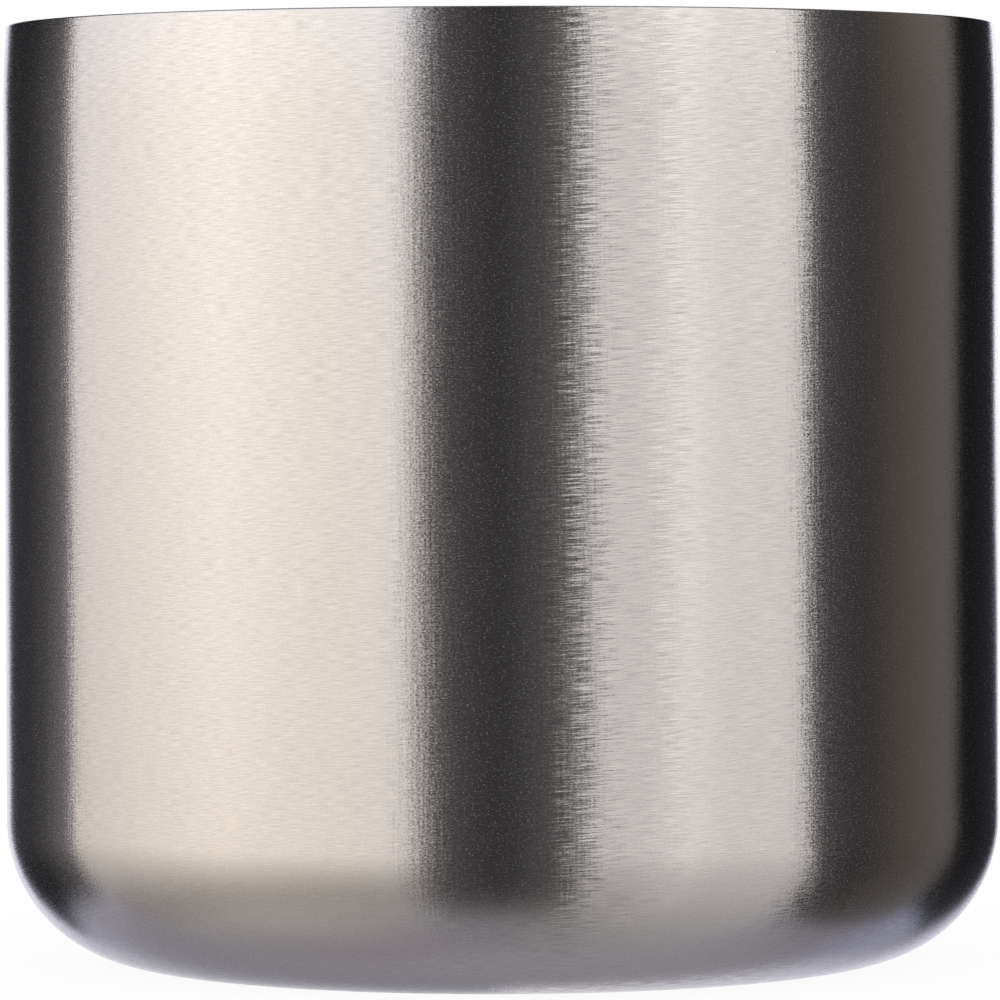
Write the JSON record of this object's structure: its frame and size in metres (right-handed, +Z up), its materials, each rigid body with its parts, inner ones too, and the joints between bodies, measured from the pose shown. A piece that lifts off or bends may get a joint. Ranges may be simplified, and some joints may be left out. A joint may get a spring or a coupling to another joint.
{
  "type": "stainless steel tumbler",
  "caption": "Straight-sided vacuum-walled drinking cup of brushed steel, with a rounded lower corner, a thin welded rim and a recessed base cover; it stands free and holds a drink.",
  "frame": {"origin": "centre of the flat foot ring, on the table", "axes": "+Z up along the cup's axis, from the foot ring to the rim; X and Y are any two square directions of the round cup"},
  "size_m": [0.085, 0.085, 0.08],
  "materials": {
    "outer_shell": "circumferentially brushed stainless steel",
    "inner_liner": "satin spun stainless steel",
    "rim_weld": "ground and polished weld bead",
    "foil_wrap": "rolled copper foil",
    "foil_disc": "rolled copper foil",
    "getter_pill": "sintered metal",
    "getter_strap": "plain rolled strip",
    "port_seal": "fused solder glass",
    "cover_bond": "cured adhesive",
    "base_cover": "spun-brushed stainless steel disc"
  },
  "bodies": {
    "root": {"outer_shell": "outer_shell", "inner_liner": "inner_liner", "rim_weld": "rim_weld", "foil_wrap": "foil_wrap", "foil_disc": "foil_disc", "getter_pill": "getter_pill", "getter_strap": "getter_strap", "port_seal": "port_seal", "cover_bond": "cover_bond", "base_cover": "base_cover"}
  },
  "joints": []
}
